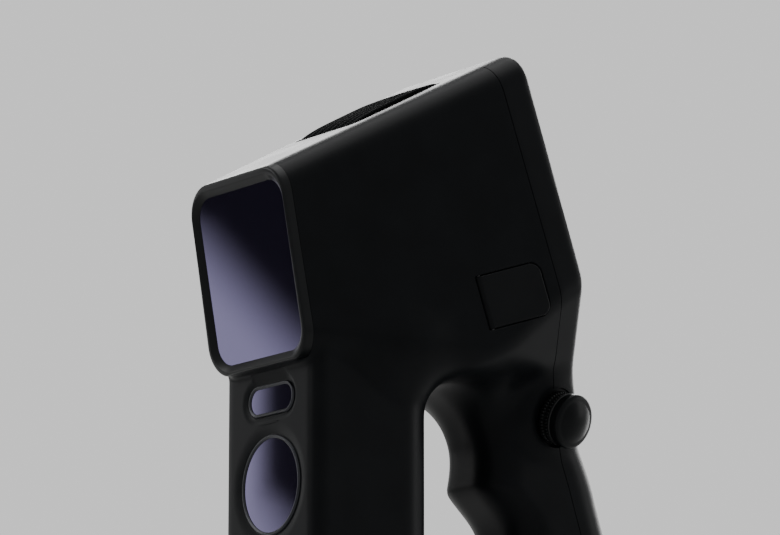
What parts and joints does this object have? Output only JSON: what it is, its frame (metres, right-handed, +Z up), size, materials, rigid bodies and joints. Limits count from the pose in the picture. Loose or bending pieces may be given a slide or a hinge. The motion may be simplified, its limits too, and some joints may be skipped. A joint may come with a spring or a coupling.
{
  "type": "handheld 3d scanner",
  "caption": "Handheld structured-light 3D scanner with a pistol grip, a flared head with a display, a window column, a knurled push knob, a hinged port cover and a battery door.",
  "frame": {"origin": "mouth of the tripod socket, in the middle of the column's foot, on the surface the scanner stands on", "axes": "+Z up along the column, -Y the side that looks at the work, +X the side with the knob and the port cover"},
  "size_m": [0.0808, 0.1722, 0.2422],
  "materials": {
    "housing": "fine spark-eroded texture",
    "soft_cover": "matte",
    "window_glass": "coated gloss",
    "display_glass": "gloss",
    "lens_glass": "coated gloss",
    "dark_metal": "black anodised",
    "bare_metal": "milled",
    "steel": "satin",
    "brass": "satin",
    "rubber": "matte",
    "board": "solder mask",
    "module": "moulded",
    "knob": "satin",
    "led": "clear",
    "panel": "gloss",
    "battery_wrap": "shrink wrap",
    "fan": "moulded"
  },
  "bodies": {
    "housing": {"main_housing": "housing", "rear_housing": "housing", "front_bezel": "housing", "grip_collar": "housing", "column_base": "housing", "housing_screws": "steel", "frame_screws": "steel", "upper_window": "window_glass", "pill_window": "window_glass", "projector_window": "window_glass", "lower_window": "window_glass", "pill_trim": "dark_metal", "projector_trim": "dark_metal", "lower_trim": "dark_metal", "window_gasket": "rubber", "led_board": "board", "led_lenses": "led", "upper_lens_barrel": "dark_metal", "upper_camera_lens": "lens_glass", "upper_camera": "module", "projector_barrel": "dark_metal", "projector_lens": "lens_glass", "projector_module": "module", "lower_camera_barrel": "dark_metal", "lower_camera_lens": "lens_glass", "lower_camera_module": "module", "laser_sensor": "module", "optical_frame": "bare_metal", "vent_grille": "housing", "fan_frame": "fan", "heat_sink": "bare_metal", "main_board": "board", "processor": "module", "board_screws": "steel", "display_glass": "display_glass", "display_panel": "panel", "button_switch": "board", "knob_bush": "brass", "encoder_body": "module", "encoder_dome": "steel", "port_hinge_pin": "steel", "usb_socket": "steel", "charging_jack": "steel", "door_hinge_pin": "steel", "battery_pack": "battery_wrap", "battery_contacts": "brass", "column_foot": "rubber", "tripod_insert": "brass"},
    "plunger": {"encoder_plunger": "steel"},
    "knob": {"knob_skirt": "knob", "knob_cap": "knob", "knob_shaft": "steel"},
    "port_cover": {"port_cover": "soft_cover"},
    "battery_door": {"battery_door": "housing"},
    "power_button": {"power_button": "knob"},
    "fan": {"fan_rotor": "fan"}
  },
  "joints": [
    {"name": "knob_press", "type": "slide", "parent": "housing", "child": "plunger", "axis": [-0.9267, -0.2184, 0.3059], "range_m": [0, 0.0008], "stiffness_N_per_m": 2500},
    {"name": "knob_turn", "type": "hinge", "parent": "plunger", "child": "knob", "pos_m": [0.0185, 0.081, 0.1197], "axis": [0.9267, 0.2184, -0.3059], "continuous": true},
    {"name": "port_cover_hinge", "type": "hinge", "parent": "housing", "child": "port_cover", "pos_m": [0.03521, 0.03902, 0.15259], "axis": [0.0351, 0.3052, -0.9516], "range_deg": [0, 95]},
    {"name": "battery_door_hinge", "type": "hinge", "parent": "housing", "child": "battery_door", "pos_m": [0, 0.0959, 0.0027], "axis": [-1, 0, 0], "range_deg": [0, 90]},
    {"name": "power_button_press", "type": "slide", "parent": "housing", "child": "power_button", "axis": [0, -0.9511, -0.309], "range_m": [0, 0.0006], "stiffness_N_per_m": 2000},
    {"name": "fan_spin", "type": "hinge", "parent": "housing", "child": "fan", "pos_m": [0, 0.015, 0.22245], "axis": [0, -0.4772, 0.8788], "continuous": true}
  ]
}
